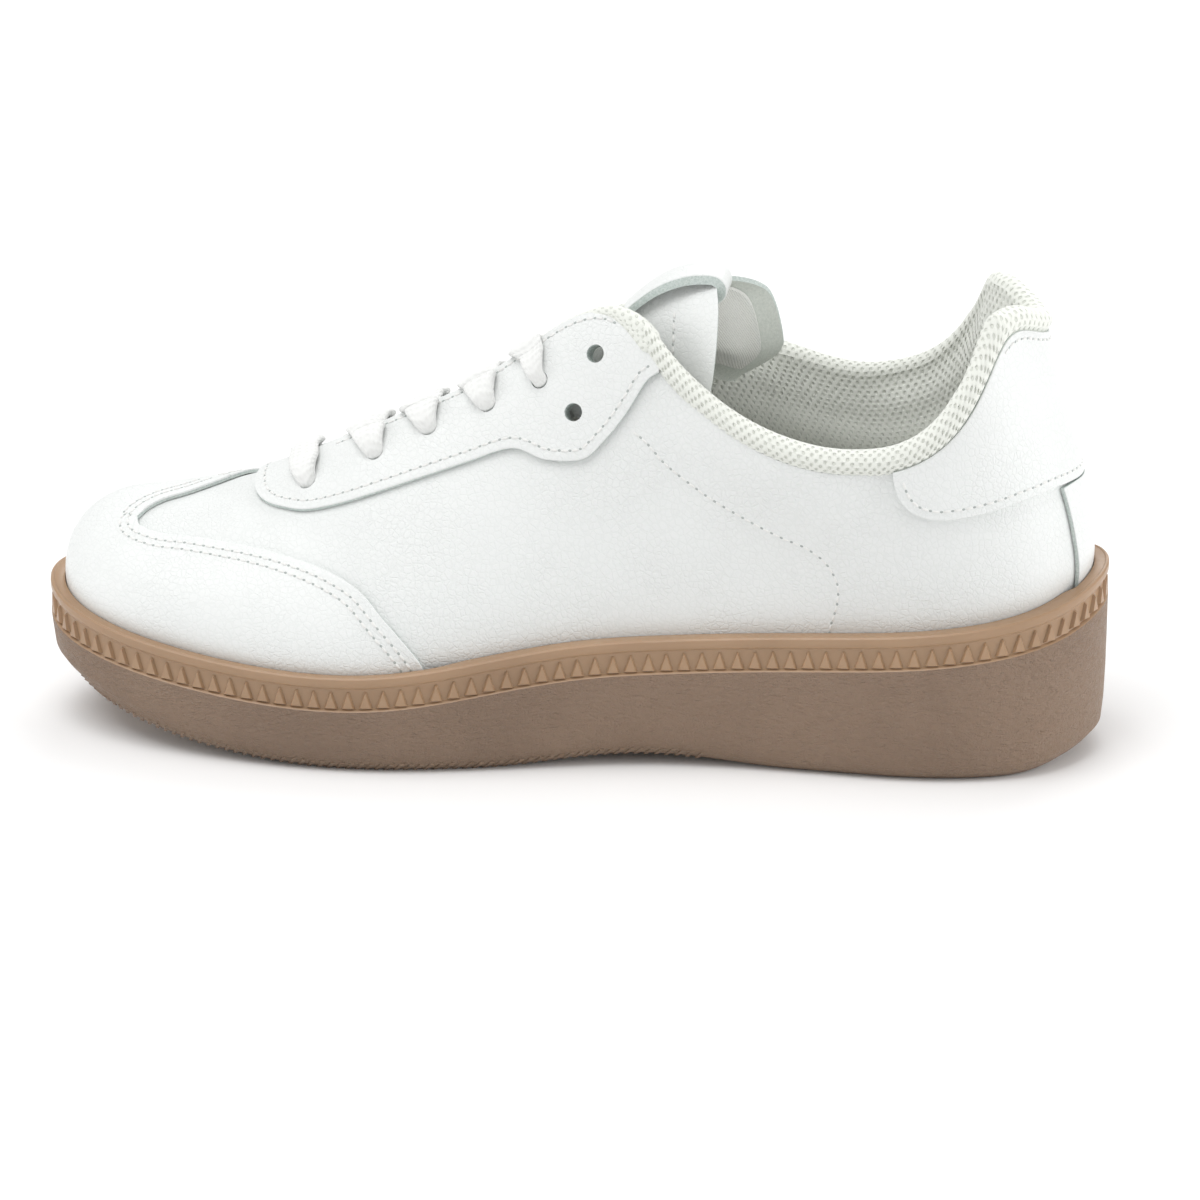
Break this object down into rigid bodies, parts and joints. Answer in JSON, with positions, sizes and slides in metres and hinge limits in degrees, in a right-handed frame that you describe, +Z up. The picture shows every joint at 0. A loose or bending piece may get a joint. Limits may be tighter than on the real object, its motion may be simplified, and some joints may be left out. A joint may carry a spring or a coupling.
{
  "type": "court shoe",
  "caption": "Low white leather court shoe on a gum rubber cupsole, with mudguard, laced eyestay, padded mesh collar and a hinged tongue top.",
  "frame": {"origin": "centre of the sole's box, on the ground", "axes": "+X from toe to heel, +Y to the outer (lateral) side, +Z up"},
  "size_m": [0.269, 0.099, 0.118],
  "materials": {
    "gum_rubber": "semi-matte translucent gum rubber with a fine leather-grain texture",
    "sole_foam": "closed-cell EVA foam",
    "board": "pressed fibre board",
    "sock_cloth": "fine knit cloth over moulded foam",
    "white_leather": "satin white coated leather with a fine tumbled grain",
    "stiffener": "resin-stiffened felt",
    "lining_cloth": "soft knitted lining",
    "pad_foam": "open-cell padding foam",
    "collar_mesh": "off-white spacer mesh with open round cells",
    "lace_cotton": "thick flat woven cotton-polyester tape",
    "aglet_plastic": "clear-white shrunk film"
  },
  "bodies": {
    "shoe": {"outsole": "gum_rubber", "midsole_foam": "sole_foam", "insole_board": "board", "sockliner": "sock_cloth", "base_upper": "white_leather", "mudguard": "white_leather", "eyestay": "white_leather", "heel_patch": "white_leather", "backstay": "white_leather", "toe_puff": "stiffener", "heel_counter": "stiffener", "eyelet_stay_medial": "stiffener", "eyelet_stay_lateral": "stiffener", "vamp_lining": "lining_cloth", "collar_foam": "pad_foam", "collar_lining": "collar_mesh", "tongue_face": "white_leather", "tongue_foam": "pad_foam", "tongue_lining": "lining_cloth", "lace": "lace_cotton", "aglet_medial": "aglet_plastic", "aglet_lateral": "aglet_plastic"},
    "tongue_flap": {"flap_face": "white_leather", "flap_foam": "pad_foam", "flap_lining": "lining_cloth", "tongue_label": "white_leather"}
  },
  "joints": [
    {"name": "tongue_bend", "type": "hinge", "parent": "shoe", "child": "tongue_flap", "pos_m": [0.01202, -0.00092, 0.108], "axis": [0, -1, 0], "range_deg": [-1, 35], "stiffness_Nm_per_rad": 0.15}
  ]
}
